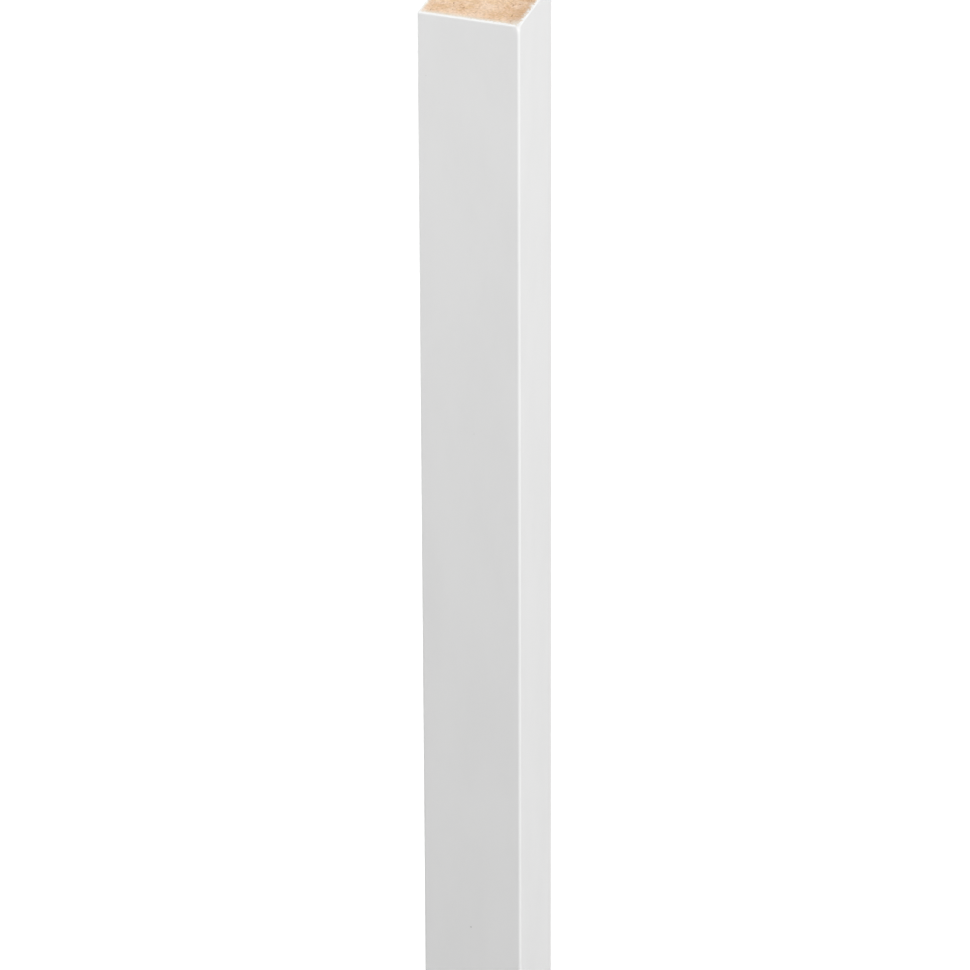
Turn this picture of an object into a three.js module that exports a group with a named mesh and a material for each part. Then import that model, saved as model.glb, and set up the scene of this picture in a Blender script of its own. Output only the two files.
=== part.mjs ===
// A length of white-painted corner moulding: one solid strip of near-square section
// that is fixed in the corner where two walls meet, with two faces to the walls and two to the room.
// Millimetres, +Z up along the strip. The origin is the middle of the back face, which goes to one wall.
// The broad face looks along -Y into the room, the side face along +X, and the second wall face along -X.

import * as THREE from "three";

// Driving dimensions
const FACE_WIDTH = 21; // broad face, across X
const SIDE_DEPTH = 20; // side face, from the wall out, across Y
const LENGTH = 230; // cut square at both ends
const SHOWN_ARRIS_RADIUS = 0.6; // eased arris between the two faces that show
const WALL_ARRIS_RADIUS = 0.5; // the other three arrises, which meet a wall
const ARC_FLATS = 8; // flats in each quarter-round arris

const paintedStrip = new THREE.MeshStandardMaterial({
  color: 0xf2f2f1,
  roughness: 0.5,
  metalness: 0,
});

// The section's four corners, anticlockwise from the one between the wall face and the broad face.
// turn is the angle at which each quarter-round starts.
function sectionCorners() {
  const left = -FACE_WIDTH / 2;
  const right = FACE_WIDTH / 2;
  const front = -SIDE_DEPTH;
  const back = 0;
  const quarter = Math.PI / 2;
  return [
    { x: left, y: front, radius: WALL_ARRIS_RADIUS, turn: 2 * quarter },
    { x: right, y: front, radius: SHOWN_ARRIS_RADIUS, turn: 3 * quarter },
    { x: right, y: back, radius: WALL_ARRIS_RADIUS, turn: 0 },
    { x: left, y: back, radius: WALL_ARRIS_RADIUS, turn: quarter },
  ];
}

// The section as a closed outline, with a tangent arc at each corner.
function sectionShape() {
  const middle = new THREE.Vector2(0, -SIDE_DEPTH / 2);
  const shape = new THREE.Shape();
  for (const { x, y, radius, turn } of sectionCorners()) {
    const centreX = x + radius * Math.sign(middle.x - x);
    const centreY = y + radius * Math.sign(middle.y - y);
    shape.absarc(centreX, centreY, radius, turn, turn + Math.PI / 2, false);
  }
  shape.closePath();
  return shape;
}

// The strip: its section run along Z, half the length to each side of the origin.
function cornerMoulding() {
  const geometry = new THREE.ExtrudeGeometry(sectionShape(), {
    depth: LENGTH,
    steps: 1,
    curveSegments: ARC_FLATS / 2, // an arc takes two flats for each curve segment
    bevelEnabled: false,
  });
  const strip = new THREE.Mesh(geometry, paintedStrip);
  strip.name = "corner_moulding";
  strip.position.z = -LENGTH / 2;
  return strip;
}

const moulding = new THREE.Group();
moulding.add(cornerMoulding());

export default moulding;
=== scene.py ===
"""A length of white-painted corner moulding with raw sawn ends, on a plain pale studio floor."""

import math

import bmesh
import bpy
from bpy.props import FloatProperty, FloatVectorProperty, PointerProperty
from mathutils import Matrix, Vector, noise


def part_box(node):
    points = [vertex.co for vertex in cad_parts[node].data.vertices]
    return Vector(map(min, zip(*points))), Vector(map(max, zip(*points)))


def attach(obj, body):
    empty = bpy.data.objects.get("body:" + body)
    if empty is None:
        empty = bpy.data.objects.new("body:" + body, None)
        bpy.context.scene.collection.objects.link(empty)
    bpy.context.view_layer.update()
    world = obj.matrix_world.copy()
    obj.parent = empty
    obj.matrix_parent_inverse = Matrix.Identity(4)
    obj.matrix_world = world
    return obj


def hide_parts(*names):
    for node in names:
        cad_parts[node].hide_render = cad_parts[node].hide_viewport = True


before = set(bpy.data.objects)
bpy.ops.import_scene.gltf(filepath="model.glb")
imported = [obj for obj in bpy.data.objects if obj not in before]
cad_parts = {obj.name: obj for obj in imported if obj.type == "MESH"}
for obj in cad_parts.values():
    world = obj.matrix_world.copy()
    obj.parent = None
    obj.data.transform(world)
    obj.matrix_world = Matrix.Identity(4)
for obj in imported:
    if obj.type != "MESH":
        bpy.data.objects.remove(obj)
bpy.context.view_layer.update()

bl_info = {
    "name": "Corner moulding",
    "version": (1, 0, 0),
    "blender": (4, 5, 0),
    "location": "View3D > Sidebar > Moulding",
    "description": "Models a white-painted corner moulding with raw sawn ends, and a studio for it",
    "category": "Add Mesh",
}

MM = 0.001

# The strip in the frame: it runs along Z, its broad face looks along -Y and its side face along +X.
STRIP_NODE = "corner_moulding"
STRIP_BODY = "root"
LOW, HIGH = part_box(STRIP_NODE)
MIDDLE = (LOW + HIGH) / 2
HALF = (HIGH - LOW) / 2
KNOCKED_CORNER = Vector((HIGH.x, LOW.y, HIGH.z))

# How finely the strip's mesh is cut
ARRIS_STEPS = 10
EASING_STEPS = 3
COLUMN_WIDTH = 0.25 * MM
ROW_HEIGHT = 10 * MM
ROWS_BY_END = (0.4 * MM, 0.8 * MM, 1.3 * MM, 2 * MM, 3.5 * MM, 6 * MM)
CUT_TOLERANCE = 0.0001 * MM

# How squarely a flat looks along its axis, and how far an arris between two flats turns to both
FLAT = 0.999
TURNED = 0.01

# Material places on the strip's mesh
PAINT, RAW_END, PRIMER = range(3)

# Marks in the sawn ends: how wide each kind is across the saw's way and along it
SCORE_WIDTHS = (0.5 * MM, 4 * MM)
FIBRE_WIDTHS = (0.6 * MM, 0.6 * MM)
TEAR_WIDTHS = (0.5 * MM, 1.5 * MM)

# How deep those marks are, as shares of the deepest, and where along X the torn side starts
MEAN_SINK = 0.35
SCORE_SINK = 0.25
FIBRE_SINK = 0.25
TEAR_SINK = 0.15
TORN_SIDE_SINK = 0.35
TORN_SIDE_START = 5 * MM

# The rim of the sawn ends that stays sound: how far in the marks start, and where they are full
SOUND_RIM = (0.3 * MM, 1.1 * MM)

# The waves in the painted faces, across the strip and along it
WAVE_WIDTH = 9 * MM
WAVE_LENGTH = 40 * MM

# Random patterns in the finishes: how wide their spots are, how they are stretched and how fine they are
CLOUDS = {"grain": 9 * MM, "stretch": (1, 1, 0.35), "detail": 4.0, "roughness": 0.6}
STIPPLE = {"grain": 1.1 * MM, "detail": 3.0}
STREAKS = {"grain": 1.6 * MM, "stretch": (1, 1, 0.12), "detail": 4.0, "roughness": 0.6}
KNIFE_DRIFT = {"grain": 14 * MM}
PATCHES = {"grain": 4 * MM, "detail": 3.0, "roughness": 0.85}
RESIN = {"grain": 1.3 * MM, "stretch": (0.9, 0.9, -0.9), "roughness": 0.7}
MOTTLE = {"grain": 0.5 * MM, "detail": 3.0, "roughness": 0.75}
FLECKS = {"grain": 0.65 * MM, "stretch": (1, 0.45, 1), "detail": 1.5}
RAGGED_LAP = {"grain": 0.45 * MM, "roughness": 0.6}

# Where each pattern starts to show, and where it shows in full
CLOUD_RAMP = (0.35, 0.7)
STREAK_RAMP = (0.5, 0.8)
PATCH_RAMP = (0.32, 0.68)
RESIN_RAMP = (0.5, 0.68)
MOTTLE_RAMP = (0.3, 0.72)
FLECK_RAMP = (0.61, 0.76)

# How strongly the patterns show where they are full
STREAK_SHARE = 0.25
RESIN_SHARE = 0.6
MOTTLE_SHADES = (0.88, 1.12)
FLECK_SHARE = 0.8

# The raw ends darken towards the torn side: how far from that side this starts and is full, and its share
DARK_SIDE_START = 4.5 * MM
DARK_SIDE_FULL = 0.5 * MM
DARK_SIDE_SHARE = 0.35

# The paint films: how far their clouds dim them, how rough they are, and how far the clouds change that
PAINT_CLOUDING = 0.02
PAINT_ROUGHNESS = 0.42
LAP_ROUGHNESS = 0.5
PRIMER_CLOUDING = 0.05
PRIMER_ROUGHNESS = 0.65
GLOSS_SPREAD = 0.2

# How much rougher the bare fibre is than the paint lapped over it
FIBRE_ROUGHER = 0.4

# Fine relief that the mesh doesn't carry
STIPPLE_DEPTH = 0.006 * MM
PRIMER_RELIEF = 0.014 * MM
FUZZ_DEPTH = 0.12 * MM

# Painted highlight along the shown arris, where the paint's colour is made lighter: where that ends and
# where it is full, and how much whiter it is
ARRIS_HIGHLIGHT_RAMP = (0.7 * MM, 0.35 * MM)
ARRIS_HIGHLIGHT_GAIN = 1.03

# Share of the knock's reach within which the paint is scuffed all over
FULL_SCUFF = 0.5

# Dust nibs caught in the paint of the broad face: place along X and Z, and radius
DUST_NIBS = (
    (-0.35 * MM, -91.7 * MM, 0.27 * MM),
    (0.83 * MM, 24 * MM, 0.12 * MM),
    (-8.7 * MM, 101.6 * MM, 0.11 * MM),
)

# How much of a nib's radius is its core, how strongly that shows, and its colour
NIB_CORE = 0.4
NIB_SHARE = 0.35
NIB_COLOUR = (0.2, 0.2, 0.19, 1)

# The planer's marks on the wall faces: step, drift in radians, height and thinning of the primer
KNIFE_PITCH = 2.4 * MM
KNIFE_DRIFT_ANGLE = 5.0
KNIFE_HEIGHT = 1.5
KNIFE_THINNING = 0.015

# The ragged edge of the paint on the raw ends: how far it wanders, and more so by the torn side
LAP_WANDER = 1 * MM
TORN_LAP_WANDER = 2.6 * MM
TORN_LAP_START = 2 * MM

# Over that edge the paint fades out, and a little fibre shows through all of it
LAP_RAMP = (-0.3 * MM, 0.4 * MM)
SHOW_THROUGH = 0.13

# Thin paint soaked into the fibre past that edge, in a band coloured greyer and darker than the paint:
# where it starts, and its share
SOAK_START = -0.2 * MM
SOAK_SHARE = 0.65

# The same round the knocked corner: its share, and how much of its reach it fills
CORNER_SOAK_SHARE = 0.7
FULL_CORNER_SOAK = 0.25

# The sockets of a colour mix: its share, its two colours and its result
MIX_SHARE, MIX_FIRST, MIX_SECOND = 0, 6, 7
MIX_RESULT = 2


class StripSizes(bpy.types.PropertyGroup):
    """Sizes of the strip's edges and marks, and of the paint on its ends"""

    shown_arris: FloatProperty(
        name="Shown arris",
        description="Radius of the arris between the broad face and the side face",
        default=0.6 * MM,
        unit="LENGTH",
    )
    wall_arris: FloatProperty(
        name="Wall arrises",
        description="Radius of the three arrises that meet a wall",
        default=0.5 * MM,
        unit="LENGTH",
    )
    end_easing: FloatProperty(
        name="End easing",
        description="Radius of the rubbed edge round each sawn end",
        default=0.2 * MM,
        unit="LENGTH",
    )
    front_lap: FloatProperty(
        name="Front paint lap",
        description="How far the paint laps onto the raw ends from their front and back edges",
        default=0.6 * MM,
        unit="LENGTH",
    )
    front_soak: FloatProperty(
        name="Front paint soak",
        description="How far past that lap thin paint has soaked into the raw ends",
        default=1.8 * MM,
        unit="LENGTH",
    )
    wall_lap: FloatProperty(
        name="Wall paint lap",
        description="How far the paint laps onto the raw ends from the edge by the left wall",
        default=0.4 * MM,
        unit="LENGTH",
    )
    side_lap: FloatProperty(
        name="Side paint lap",
        description="How far the paint of the side face laps onto the raw ends, unevenly",
        default=0.55 * MM,
        unit="LENGTH",
    )
    side_soak: FloatProperty(
        name="Side paint soak",
        description="How far past the wall and side laps thin paint has soaked into the raw ends",
        default=0.9 * MM,
        unit="LENGTH",
    )
    saw_depth: FloatProperty(
        name="Saw marks",
        description="Depth of the deepest saw marks and torn fibres in the raw ends",
        default=0.1 * MM,
        unit="LENGTH",
    )
    paint_wave: FloatProperty(
        name="Paint waviness",
        description="How far the painted faces wander in and out of flat",
        default=0.015 * MM,
        unit="LENGTH",
    )
    knocked_corner: FloatProperty(
        name="Knocked corner",
        description="How far the top of the shown arris is rubbed back",
        default=0.52 * MM,
        unit="LENGTH",
    )
    knock_reach: FloatProperty(
        name="Knock reach",
        description="How far from the knocked corner the rubbing reaches",
        default=1.4 * MM,
        unit="LENGTH",
    )
    corner_soak: FloatProperty(
        name="Corner paint soak",
        description="How far round the knocked corner thin paint has soaked into the raw end",
        default=4.5 * MM,
        unit="LENGTH",
    )


class StripColours(bpy.types.PropertyGroup):
    """Colours of the strip's finishes"""

    paint: FloatVectorProperty(
        name="Paint",
        description="White satin paint on the faces that show",
        default=(0.86, 0.86, 0.857),
        subtype="COLOR",
    )
    # A grey darker than the paint, which colours the darker band beside the painted rim of the raw ends
    grey_band: FloatVectorProperty(
        name="Thin paint",
        description="Thin paint soaked into the raw ends beside the edges",
        default=(0.74, 0.75, 0.71),
        subtype="COLOR",
    )
    scuff: FloatVectorProperty(
        name="Scuff",
        description="Dull, scuffed paint on the knocked corner",
        default=(0.765, 0.765, 0.76),
        subtype="COLOR",
    )
    primer: FloatVectorProperty(
        name="Primer",
        description="Thin primer on the faces that go to the walls",
        default=(0.80, 0.795, 0.78),
        subtype="COLOR",
    )
    fibre: FloatVectorProperty(
        name="Fibre",
        description="Pressed wood fibre of the raw ends",
        default=(0.70, 0.454, 0.264),
        subtype="COLOR",
    )
    pale_fleck: FloatVectorProperty(
        name="Pale flecks",
        description="Pale fibre bundles in the raw ends",
        default=(0.83, 0.632, 0.475),
        subtype="COLOR",
    )
    honey_patch: FloatVectorProperty(
        name="Honey patches",
        description="Yellower patches of fibre in the raw ends",
        default=(0.79, 0.563, 0.33),
        subtype="COLOR",
    )
    dark_fleck: FloatVectorProperty(
        name="Dark flecks",
        description="Dark fibre bundles and saw tears in the raw ends",
        default=(0.435, 0.236, 0.125),
        subtype="COLOR",
    )


class StudioSettings(bpy.types.PropertyGroup):
    """The studio's floor and lights"""

    floor_colour: FloatVectorProperty(
        name="Floor",
        description="Pale floor of the light table",
        default=(0.25, 0.25, 0.25),
        subtype="COLOR",
    )
    floor_glow: FloatProperty(
        name="Floor glow",
        description="Light that comes up through the floor",
        default=0.48,
    )
    floor_white: FloatProperty(
        name="Floor white",
        description="How much brighter the floor looks to the camera than it lights the strip",
        default=0.45,
    )
    top_power: FloatProperty(
        name="Top light",
        description="Power of the large softbox straight overhead",
        default=6.55,
        unit="POWER",
    )
    side_power: FloatProperty(
        name="Side light",
        description="Power of the softbox on the right",
        default=6.6,
        unit="POWER",
    )
    front_power: FloatProperty(
        name="Front light",
        description="Power of the softbox in front",
        default=2.15,
        unit="POWER",
    )
    left_power: FloatProperty(
        name="Left light",
        description="Power of the small softbox close by, above and to the left",
        default=0.39,
        unit="POWER",
    )
    back_power: FloatProperty(
        name="Back light",
        description="Power of the softbox behind, for the faces that go to the walls",
        default=6.0,
        unit="POWER",
    )
    room_light: FloatProperty(
        name="Room light",
        description="Even light from all round",
        default=0.01,
    )


def add_node(tree, kind, inputs=None, **settings):
    """A new node in the tree, with its settings, and its inputs either set or linked."""
    node = tree.nodes.new(kind)
    for name, value in settings.items():
        setattr(node, name, value)
    for name, value in (inputs or {}).items():
        if isinstance(value, bpy.types.NodeSocket):
            tree.links.new(value, node.inputs[name])
        else:
            node.inputs[name].default_value = value
    return node


def maths(tree, operation, first, second=0.0, third=0.0):
    """One step of arithmetic on values that change over the surface."""
    inputs = {0: first, 1: second, 2: third}
    return add_node(tree, "ShaderNodeMath", inputs, operation=operation).outputs["Value"]


def between(tree, value, start, end, low=0.0, high=1.0):
    """Runs smoothly from low to high while value goes from start to end."""
    inputs = {"Value": value, "From Min": start, "From Max": end, "To Min": low, "To Max": high}
    ramp = add_node(tree, "ShaderNodeMapRange", inputs, interpolation_type="SMOOTHSTEP")
    return ramp.outputs["Result"]


def mix_colours(tree, share, first, second):
    """The first colour, turned to the second by its share."""
    inputs = {MIX_SHARE: share, MIX_FIRST: first, MIX_SECOND: second}
    return add_node(tree, "ShaderNodeMix", inputs, data_type="RGBA").outputs[MIX_RESULT]


def with_alpha(colour):
    """A colour property as a node's colour value."""
    return (*colour, 1.0)


def object_place(tree, stretch=(1, 1, 1)):
    """Places on the piece in metres, stretched for patterns that run one way."""
    inputs = {"Vector": add_node(tree, "ShaderNodeTexCoord").outputs["Object"], "Scale": stretch}
    return add_node(tree, "ShaderNodeMapping", inputs).outputs["Vector"]


def speckle(tree, grain, stretch=(1, 1, 1), detail=2.0, roughness=0.5):
    """Soft random values from 0 to 1, with spots about one grain across before they are stretched."""
    place = object_place(tree, stretch)
    inputs = {"Vector": place, "Scale": 1 / grain, "Detail": detail, "Roughness": roughness}
    return add_node(tree, "ShaderNodeTexNoise", inputs).outputs["Fac"]


def distance_to(tree, place, point):
    """How far each place lies from one point."""
    inputs = {0: place, 1: point}
    return add_node(tree, "ShaderNodeVectorMath", inputs, operation="DISTANCE").outputs["Value"]


def scaled_colour(tree, colour, factor):
    """A colour made darker or lighter by a factor that changes over the surface."""
    inputs = {0: colour, "Scale": factor}
    return add_node(tree, "ShaderNodeVectorMath", inputs, operation="SCALE").outputs["Vector"]


def paint_film_group():
    """Node group: a sprayed paint film, faintly clouded along the strip, with a fine stipple."""
    group = bpy.data.node_groups.new("paint_film", "ShaderNodeTree")
    sockets = group.interface
    sockets.new_socket("Colour", in_out="INPUT", socket_type="NodeSocketColor")
    sockets.new_socket("Clouding", in_out="INPUT", socket_type="NodeSocketFloat")
    sockets.new_socket("Roughness", in_out="INPUT", socket_type="NodeSocketFloat")
    sockets.new_socket("Colour", in_out="OUTPUT", socket_type="NodeSocketColor")
    sockets.new_socket("Roughness", in_out="OUTPUT", socket_type="NodeSocketFloat")
    sockets.new_socket("Height", in_out="OUTPUT", socket_type="NodeSocketFloat")
    given = group.nodes.new("NodeGroupInput").outputs
    result = group.nodes.new("NodeGroupOutput").inputs

    clouds = speckle(group, **CLOUDS)
    dimming = maths(group, "MULTIPLY", between(group, clouds, *CLOUD_RAMP), given["Clouding"])
    shade = maths(group, "SUBTRACT", 1.0, dimming)
    group.links.new(scaled_colour(group, given["Colour"], shade), result["Colour"])

    rougher = maths(group, "MULTIPLY_ADD", clouds, GLOSS_SPREAD, given["Roughness"])
    group.links.new(maths(group, "SUBTRACT", rougher, GLOSS_SPREAD / 2), result["Roughness"])
    group.links.new(speckle(group, **STIPPLE), result["Height"])
    return group


def new_material(name):
    """An empty node material with its Principled shader."""
    material = bpy.data.materials.new(name)
    material.use_nodes = True
    tree = material.node_tree
    tree.nodes.clear()
    shader = add_node(tree, "ShaderNodeBsdfPrincipled")
    add_node(tree, "ShaderNodeOutputMaterial", {"Surface": shader.outputs["BSDF"]})
    return material, tree, shader


def add_film(tree, group, colour, clouding, roughness):
    """The paint film group, placed in a material with its own values."""
    film = add_node(tree, "ShaderNodeGroup", node_tree=group)
    film.inputs["Colour"].default_value = with_alpha(colour)
    film.inputs["Clouding"].default_value = clouding
    film.inputs["Roughness"].default_value = roughness
    return film.outputs


def add_bump(tree, shader, height, depth):
    """Fine relief that the mesh doesn't carry."""
    bump = add_node(tree, "ShaderNodeBump", {"Height": height, "Distance": depth})
    tree.links.new(bump.outputs["Normal"], shader.inputs["Normal"])


def dust_nibs(tree):
    """Mask of the dust nibs in the broad face's paint."""
    place = object_place(tree)
    mask = 0.0
    for x, z, radius in DUST_NIBS:
        away = distance_to(tree, place, (x, LOW.y, z))
        mask = maths(tree, "MAXIMUM", between(tree, away, radius, radius * NIB_CORE), mask)
    return mask


def white_paint(sizes, colours, film_group):
    """White satin paint on the faces that show, with a painted highlight lightening it along the shown
    arris, and scuffed at its top.
    """
    material, tree, shader = new_material("white_satin_paint")
    film = add_film(tree, film_group, colours.paint, PAINT_CLOUDING, PAINT_ROUGHNESS)
    # Painted highlight: the paint's colour is made lighter towards the shown arris
    from_arris = distance_to(tree, object_place(tree, stretch=(1, 1, 0)), (HIGH.x, LOW.y, 0))
    highlight_gain = between(tree, from_arris, *ARRIS_HIGHLIGHT_RAMP, 1.0, ARRIS_HIGHLIGHT_GAIN)
    colour = scaled_colour(tree, film["Colour"], highlight_gain)
    colour = mix_colours(tree, maths(tree, "MULTIPLY", dust_nibs(tree), NIB_SHARE), colour, NIB_COLOUR)
    from_corner = distance_to(tree, object_place(tree), KNOCKED_CORNER)
    scuffed = between(tree, from_corner, sizes.knock_reach, sizes.knock_reach * FULL_SCUFF)
    colour = mix_colours(tree, scuffed, colour, with_alpha(colours.scuff))
    tree.links.new(colour, shader.inputs["Base Color"])
    tree.links.new(film["Roughness"], shader.inputs["Roughness"])
    add_bump(tree, shader, film["Height"], STIPPLE_DEPTH)
    return material


def knife_marks(tree):
    """Ripples across the strip, as a planer's knives leave them, from -1 to 1."""
    along = add_node(tree, "ShaderNodeSeparateXYZ", {"Vector": object_place(tree)}).outputs["Z"]
    drift = maths(tree, "MULTIPLY", speckle(tree, **KNIFE_DRIFT), KNIFE_DRIFT_ANGLE)
    return maths(tree, "SINE", maths(tree, "MULTIPLY_ADD", along, math.tau / KNIFE_PITCH, drift))


def thin_primer(colours, film_group):
    """Thin primer on the faces that go to the walls, with the planer's marks left in it."""
    material, tree, shader = new_material("thin_primer")
    film = add_film(tree, film_group, colours.primer, PRIMER_CLOUDING, PRIMER_ROUGHNESS)
    ripples = knife_marks(tree)
    thinned = maths(tree, "MULTIPLY_ADD", ripples, KNIFE_THINNING, speckle(tree, **STREAKS))
    bare = between(tree, thinned, *STREAK_RAMP, 0.0, STREAK_SHARE)
    colour = mix_colours(tree, bare, film["Colour"], with_alpha(colours.fibre))
    tree.links.new(colour, shader.inputs["Base Color"])
    tree.links.new(film["Roughness"], shader.inputs["Roughness"])
    relief = maths(tree, "MULTIPLY_ADD", ripples, KNIFE_HEIGHT, film["Height"])
    add_bump(tree, shader, relief, PRIMER_RELIEF)
    return material


def past_laps(tree, place, sizes):
    """How far a place on a sawn end lies past the paint over its sides and its front, and its X."""
    parts = add_node(tree, "ShaderNodeSeparateXYZ", {"Vector": place}).outputs
    past_wall = maths(tree, "SUBTRACT", parts["X"], LOW.x + sizes.wall_lap)
    past_side = maths(tree, "SUBTRACT", HIGH.x - sizes.side_lap, parts["X"])
    past_sides = maths(tree, "MINIMUM", past_wall, past_side)
    off_middle = maths(tree, "ABSOLUTE", maths(tree, "SUBTRACT", parts["Y"], MIDDLE.y))
    past_front = maths(tree, "SUBTRACT", HALF.y - sizes.front_lap, off_middle)
    return past_sides, past_front, parts["X"]


def fibre_core(tree, colours, across):
    """Colour of the sawn fibre, patched, mottled and flecked the saw's way, and its fuzzy relief."""
    pale = between(tree, speckle(tree, **PATCHES), *PATCH_RAMP)
    core = mix_colours(tree, pale, with_alpha(colours.fibre), with_alpha(colours.pale_fleck))
    honey = between(tree, speckle(tree, **RESIN), *RESIN_RAMP, 0.0, RESIN_SHARE)
    core = mix_colours(tree, honey, core, with_alpha(colours.honey_patch))
    mottle = speckle(tree, **MOTTLE)
    core = scaled_colour(tree, core, between(tree, mottle, *MOTTLE_RAMP, *MOTTLE_SHADES))
    flecks = speckle(tree, **FLECKS)
    start, full = HIGH.x - DARK_SIDE_START, HIGH.x - DARK_SIDE_FULL
    dark_side = between(tree, across, start, full, 0.0, DARK_SIDE_SHARE)
    dark = maths(tree, "ADD", between(tree, flecks, *FLECK_RAMP, 0.0, FLECK_SHARE), dark_side)
    core = mix_colours(tree, dark, core, with_alpha(colours.dark_fleck))
    return core, maths(tree, "SUBTRACT", mottle, flecks)


def raw_end(sizes, colours, film_group):
    """Raw sawn fibre with flecks and tears, and white paint lapped unevenly over its edges."""
    material, tree, shader = new_material("raw_fibre_end")
    place = object_place(tree)
    past_sides, past_front, across = past_laps(tree, place, sizes)
    core, fuzz = fibre_core(tree, colours, across)

    wander = maths(tree, "SUBTRACT", speckle(tree, **RAGGED_LAP), 0.5)
    reach = between(tree, across, MIDDLE.x, HIGH.x - TORN_LAP_START, LAP_WANDER, TORN_LAP_WANDER)
    past_sides = maths(tree, "MULTIPLY_ADD", wander, reach, past_sides)
    past_front = maths(tree, "MULTIPLY_ADD", wander, reach, past_front)
    from_corner = maths(tree, "MULTIPLY_ADD", wander, reach, distance_to(tree, place, KNOCKED_CORNER))

    side_soak = between(tree, past_sides, SOAK_START, sizes.side_soak, SOAK_SHARE, 0.0)
    front_soak = between(tree, past_front, SOAK_START, sizes.front_soak, SOAK_SHARE, 0.0)
    corner_start = sizes.corner_soak * FULL_CORNER_SOAK
    corner_soak = between(tree, from_corner, corner_start, sizes.corner_soak, CORNER_SOAK_SHARE, 0.0)
    soak = maths(tree, "MAXIMUM", maths(tree, "MAXIMUM", front_soak, side_soak), corner_soak)
    # The soaked band is coloured a grey that is darker than the paint
    core = mix_colours(tree, soak, core, with_alpha(colours.grey_band))

    bare = between(tree, maths(tree, "MINIMUM", past_sides, past_front), *LAP_RAMP, SHOW_THROUGH)
    film = add_film(tree, film_group, colours.paint, PAINT_CLOUDING, LAP_ROUGHNESS)
    roughness = maths(tree, "MULTIPLY_ADD", bare, FIBRE_ROUGHER, film["Roughness"])
    tree.links.new(mix_colours(tree, bare, film["Colour"], core), shader.inputs["Base Color"])
    tree.links.new(roughness, shader.inputs["Roughness"])
    add_bump(tree, shader, maths(tree, "MULTIPLY", fuzz, bare), FUZZ_DEPTH)
    return material


def spaced(low, high, step):
    """Even places between low and high, about a step apart, with both ends."""
    count = max(1, round((high - low) / step))
    return [low + (high - low) * i / count for i in range(count + 1)]


def cut_across(bm, axis, places):
    """Cuts the whole mesh square to an axis at each place."""
    for place in places:
        everything = bm.verts[:] + bm.edges[:] + bm.faces[:]
        bmesh.ops.bisect_plane(
            bm,
            geom=everything,
            dist=CUT_TOLERANCE,
            plane_co=axis * place,
            plane_no=axis,
        )


def round_off(bm, geom, affect, radius, steps):
    """Rounds vertices or edges off in a number of steps."""
    bmesh.ops.bevel(
        bm,
        geom=geom,
        offset=radius,
        affect=affect,
        segments=steps,
        profile=0.5,
        material=-1,
    )


def run_section(bm, sizes):
    """The section as one face with rounded corners, run the length of the strip."""
    bmesh.ops.create_grid(bm, x_segments=1, y_segments=1, size=1)
    bmesh.ops.scale(bm, vec=(HALF.x, HALF.y, 1), verts=bm.verts)
    bmesh.ops.translate(bm, vec=(MIDDLE.x, MIDDLE.y, LOW.z), verts=bm.verts)
    shown = [v for v in bm.verts if v.co.x > MIDDLE.x and v.co.y < MIDDLE.y]
    to_walls = [v for v in bm.verts if v not in shown]
    for corners, radius in ((shown, sizes.shown_arris), (to_walls, sizes.wall_arris)):
        round_off(bm, corners, "VERTICES", radius, ARRIS_STEPS)
    grown = bmesh.ops.extrude_face_region(bm, geom=bm.faces[:])["geom"]
    top = [v for v in grown if isinstance(v, bmesh.types.BMVert)]
    bmesh.ops.translate(bm, vec=(0, 0, 2 * HALF.z), verts=top)
    bmesh.ops.recalc_face_normals(bm, faces=bm.faces)


def is_end(face):
    """Whether a face lies in one of the sawn ends."""
    return abs(face.normal.z) > FLAT


def goes_to_walls(face):
    """Whether a face is one of the two flats that go to the walls, or on the arris between them."""
    back, left = face.normal.y, -face.normal.x
    return max(back, left) > FLAT or min(back, left) > TURNED


def ease_ends(bm, sizes):
    """Rubs down the edges round both sawn ends."""
    edges = [edge for edge in bm.edges if any(is_end(face) for face in edge.link_faces)]
    round_off(bm, edges, "EDGES", sizes.end_easing, EASING_STEPS)


def cut_grid(bm, sizes):
    """Cuts the flats into fine columns and the length into rows, closer together by the ends."""
    wall, shown = sizes.wall_arris, sizes.shown_arris
    cut_across(bm, Vector((1, 0, 0)), spaced(LOW.x + wall, HIGH.x - shown, COLUMN_WIDTH))
    cut_across(bm, Vector((0, 1, 0)), spaced(LOW.y + shown, HIGH.y - wall, COLUMN_WIDTH))
    last = ROWS_BY_END[-1]
    rows = [LOW.z + row for row in ROWS_BY_END] + [HIGH.z - row for row in ROWS_BY_END]
    rows += spaced(LOW.z + last, HIGH.z - last, ROW_HEIGHT)[1:-1]
    cut_across(bm, Vector((0, 0, 1)), rows)


def paint_faces(bm):
    """Gives each face its finish: raw ends, primer to the walls, white paint on the rest."""
    for face in bm.faces:
        face.smooth = not is_end(face)
        if is_end(face):
            face.material_index = RAW_END
        elif goes_to_walls(face):
            face.material_index = PRIMER
        else:
            face.material_index = PAINT


def raw_vertices(bm):
    """The vertices of both raw ends."""
    return {vert for face in bm.faces if face.material_index == RAW_END for vert in face.verts}


def smooth_step(value, start, end):
    """0 before start, 1 after end, and an easy curve between."""
    share = min(1.0, max(0.0, (value - start) / (end - start)))
    return share * share * (3 - 2 * share)


def marks(x, y, widths, layer):
    """Soft random values from -1 to 1 on a sawn end. Each layer has values of its own."""
    across, along = widths
    return noise.noise(Vector((x / across, y / along, layer)))


def saw_mark(x, y):
    """Depth of the saw marks and torn fibre at a place on a sawn end, from 0 to 1."""
    scores = marks(x, y, SCORE_WIDTHS, layer=0)
    fibres = marks(x, y, FIBRE_WIDTHS, layer=5)
    tears = marks(x, y, TEAR_WIDTHS, layer=9)
    tear_sink = TEAR_SINK + TORN_SIDE_SINK * smooth_step(x, TORN_SIDE_START, HIGH.x)
    depth = MEAN_SINK + SCORE_SINK * scores + FIBRE_SINK * fibres + tear_sink * tears
    return min(1.0, max(0.0, depth))


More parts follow.
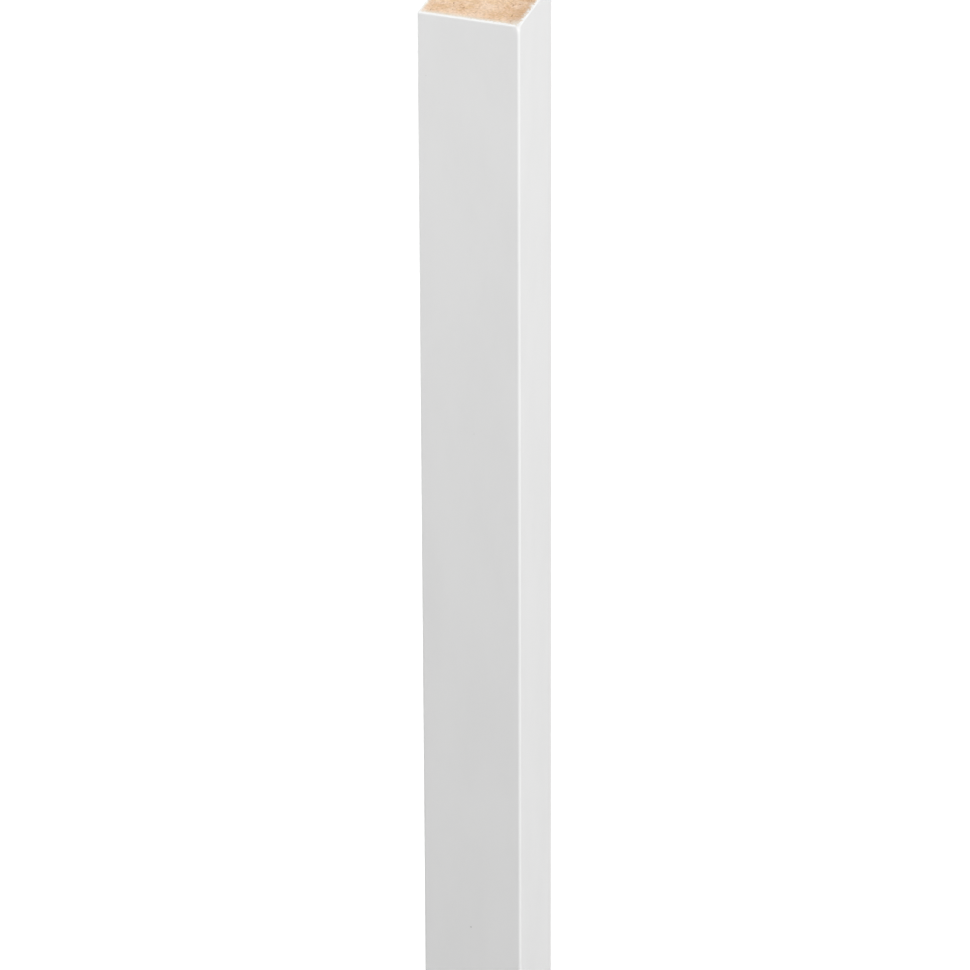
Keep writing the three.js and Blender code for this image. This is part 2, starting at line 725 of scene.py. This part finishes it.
def roughen_ends(bm, sizes):
    """Sinks the saw marks and torn fibres into both raw ends, inside the painted rim."""
    for vert in raw_vertices(bm):
        x, y, z = vert.co
        inside = min(HALF.x - abs(x - MIDDLE.x), HALF.y - abs(y - MIDDLE.y))
        # Adding z gives the two ends marks of their own
        depth = sizes.saw_depth * saw_mark(x, y + z) * smooth_step(inside, *SOUND_RIM)
        vert.co.z -= math.copysign(depth, z)


def wave_paint(bm, sizes):
    """Lets the painted faces wander a little out of flat, as a sanded and sprayed face does."""
    raw = raw_vertices(bm)
    for vert in bm.verts:
        if vert in raw:
            continue
        x, y, z = vert.co
        wave = noise.noise(Vector((x / WAVE_WIDTH, y / WAVE_WIDTH, z / WAVE_LENGTH)))
        vert.co += vert.normal * sizes.paint_wave * (wave - 1)


def knock_corner(bm, sizes):
    """Rubs back the top of the shown arris, where the strip gets knocked."""
    inward = Vector((-1, 1, -1)).normalized()
    for vert in bm.verts:
        away = (vert.co - KNOCKED_CORNER).length
        vert.co += inward * sizes.knocked_corner * (1 - smooth_step(away, 0, sizes.knock_reach))


def new_object(name, bm, materials):
    """A mesh object from a bmesh, in the scene."""
    mesh = bpy.data.meshes.new(name)
    bm.to_mesh(mesh)
    bm.free()
    for material in materials:
        mesh.materials.append(material)
    piece = bpy.data.objects.new(name, mesh)
    bpy.context.scene.collection.objects.link(piece)
    return piece


class MOULDING_OT_strip(bpy.types.Operator):
    """Model the painted strip with its raw sawn ends"""

    bl_idname = "moulding.strip"
    bl_label = "Painted strip"

    def execute(self, context):
        sizes = context.scene.strip_sizes
        colours = context.scene.strip_colours
        bm = bmesh.new()
        run_section(bm, sizes)
        ease_ends(bm, sizes)
        cut_grid(bm, sizes)
        bm.normal_update()
        paint_faces(bm)
        wave_paint(bm, sizes)
        roughen_ends(bm, sizes)
        knock_corner(bm, sizes)
        bmesh.ops.recalc_face_normals(bm, faces=bm.faces)

        film_group = paint_film_group()
        finishes = (
            white_paint(sizes, colours, film_group),
            raw_end(sizes, colours, film_group),
            thin_primer(colours, film_group),
        )
        strip = new_object("painted_strip", bm, finishes)
        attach(strip, STRIP_BODY)
        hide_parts(STRIP_NODE)
        return {"FINISHED"}


# Where the camera stands, as seen from the middle of the strip
CAMERA_AZIMUTH = math.radians(18.939)
CAMERA_ELEVATION = math.radians(28.934)
CAMERA_ROLL = math.radians(0.233)
CAMERA_DISTANCE = 1571.73 * MM
CAMERA_LENS = 290.51
CAMERA_AIM = MIDDLE + Vector((-0.33 * MM, 0, 7.01 * MM))

# The softboxes: which way each stands from the strip, how far, and how wide it is
SOFTBOXES = {
    "top": (Vector((0.0, 0.0, 1.0)), 1.2, 0.7),
    "side": (Vector((1.0, -0.3, 0.5)), 1.0, 0.6),
    "front": (Vector((0.1, -1.0, 0.6)), 1.0, 0.5),
    "left": (Vector((-1.0, -0.3, 0.8)), 0.32, 0.1),
    "back": (Vector((-0.15, 1.0, 0.35)), 1.2, 0.6),
}
FLOOR_SIZE = 8.0
FLOOR_GAP = 0.05 * MM
FLOOR_ROUGHNESS = 0.9
WHITE = (1, 1, 1, 1)


def add_camera():
    """The camera at the photograph's angle and distance."""
    camera = bpy.data.objects.new("camera", bpy.data.cameras.new("camera"))
    camera.data.lens = CAMERA_LENS
    camera.data.clip_end = 2 * FLOOR_SIZE
    back = Vector((
        math.sin(CAMERA_AZIMUTH) * math.cos(CAMERA_ELEVATION),
        -math.cos(CAMERA_AZIMUTH) * math.cos(CAMERA_ELEVATION),
        math.sin(CAMERA_ELEVATION),
    ))
    turn = back.to_track_quat("Z", "Y").to_matrix().to_4x4() @ Matrix.Rotation(-CAMERA_ROLL, 4, "Z")
    camera.matrix_world = Matrix.Translation(CAMERA_AIM + back * CAMERA_DISTANCE) @ turn
    bpy.context.scene.collection.objects.link(camera)
    bpy.context.scene.camera = camera


def add_softbox(name, power):
    """A square softbox that faces the strip and stays out of the picture."""
    direction, distance, width = SOFTBOXES[name]
    direction = direction.normalized()
    light = bpy.data.lights.new(name + "_softbox", "AREA")
    light.energy = power
    light.size = width
    softbox = bpy.data.objects.new(light.name, light)
    turn = direction.to_track_quat("Z", "Y").to_matrix().to_4x4()
    softbox.matrix_world = Matrix.Translation(MIDDLE + direction * distance) @ turn
    softbox.visible_camera = False
    bpy.context.scene.collection.objects.link(softbox)


def add_room(studio):
    """Even, weak light from all round, with pale walls to look at."""
    world = bpy.data.worlds.new("room")
    world.use_nodes = True
    tree = world.node_tree
    tree.nodes.clear()
    light = add_node(tree, "ShaderNodeBackground", {"Color": WHITE, "Strength": studio.room_light})
    walls = add_node(tree, "ShaderNodeBackground", {"Color": WHITE, "Strength": 1.0})
    seen = add_node(tree, "ShaderNodeLightPath").outputs["Is Camera Ray"]
    room = add_node(tree, "ShaderNodeMixShader", {0: seen, 1: light.outputs[0], 2: walls.outputs[0]})
    add_node(tree, "ShaderNodeOutputWorld", {"Surface": room.outputs[0]})
    bpy.context.scene.world = world


def add_floor(studio):
    """A pale light table under the strip, clear when seen from below."""
    bm = bmesh.new()
    bmesh.ops.create_grid(bm, x_segments=1, y_segments=1, size=FLOOR_SIZE / 2)
    bmesh.ops.translate(bm, vec=(0, 0, LOW.z - FLOOR_GAP), verts=bm.verts)
    material, tree, shader = new_material("light_table")
    shader.inputs["Base Color"].default_value = with_alpha(studio.floor_colour)
    shader.inputs["Roughness"].default_value = FLOOR_ROUGHNESS
    shader.inputs["Specular IOR Level"].default_value = 0.0
    shader.inputs["Emission Color"].default_value = WHITE
    shader.inputs["Emission Strength"].default_value = studio.floor_glow
    white = add_node(tree, "ShaderNodeEmission", {"Strength": studio.floor_white}).outputs[0]
    seen = add_node(tree, "ShaderNodeLightPath").outputs["Is Camera Ray"]
    white = add_node(tree, "ShaderNodeMixShader", {0: seen, 2: white}).outputs[0]
    table = add_node(tree, "ShaderNodeAddShader", {0: shader.outputs[0], 1: white}).outputs[0]
    below = add_node(tree, "ShaderNodeNewGeometry").outputs["Backfacing"]
    clear = add_node(tree, "ShaderNodeBsdfTransparent").outputs[0]
    surface = add_node(tree, "ShaderNodeMixShader", {0: below, 1: table, 2: clear}).outputs[0]
    tree.links.new(surface, tree.nodes["Material Output"].inputs["Surface"])
    floor = new_object("floor", bm, (material,))


class MOULDING_OT_studio(bpy.types.Operator):
    """Set the pale floor, the soft light and the camera"""

    bl_idname = "moulding.studio"
    bl_label = "Studio"

    def execute(self, context):
        studio = context.scene.studio_settings
        add_floor(studio)
        add_softbox("top", studio.top_power)
        add_softbox("side", studio.side_power)
        add_softbox("front", studio.front_power)
        add_softbox("left", studio.left_power)
        add_softbox("back", studio.back_power)
        add_room(studio)
        add_camera()
        context.scene.view_settings.view_transform = "Standard"
        return {"FINISHED"}


class MOULDING_PT_panel(bpy.types.Panel):
    """Sizes, colours and building steps of the corner moulding"""

    bl_label = "Corner moulding"
    bl_space_type = "VIEW_3D"
    bl_region_type = "UI"
    bl_category = "Moulding"

    def draw(self, context):
        layout = self.layout
        scene = context.scene
        for settings in (scene.strip_sizes, scene.strip_colours, scene.studio_settings):
            box = layout.box()
            for name in settings.__annotations__:
                box.prop(settings, name)
        layout.operator(MOULDING_OT_strip.bl_idname)
        layout.operator(MOULDING_OT_studio.bl_idname)


CLASSES = (
    StripSizes,
    StripColours,
    StudioSettings,
    MOULDING_OT_strip,
    MOULDING_OT_studio,
    MOULDING_PT_panel,
)


def register():
    for cls in CLASSES:
        bpy.utils.register_class(cls)
    bpy.types.Scene.strip_sizes = PointerProperty(type=StripSizes)
    bpy.types.Scene.strip_colours = PointerProperty(type=StripColours)
    bpy.types.Scene.studio_settings = PointerProperty(type=StudioSettings)


def unregister():
    del bpy.types.Scene.studio_settings
    del bpy.types.Scene.strip_colours
    del bpy.types.Scene.strip_sizes
    for cls in reversed(CLASSES):
        bpy.utils.unregister_class(cls)


def main():
    register()
    bpy.ops.moulding.strip()
    bpy.ops.moulding.studio()


if __name__ == "__main__":
    main()
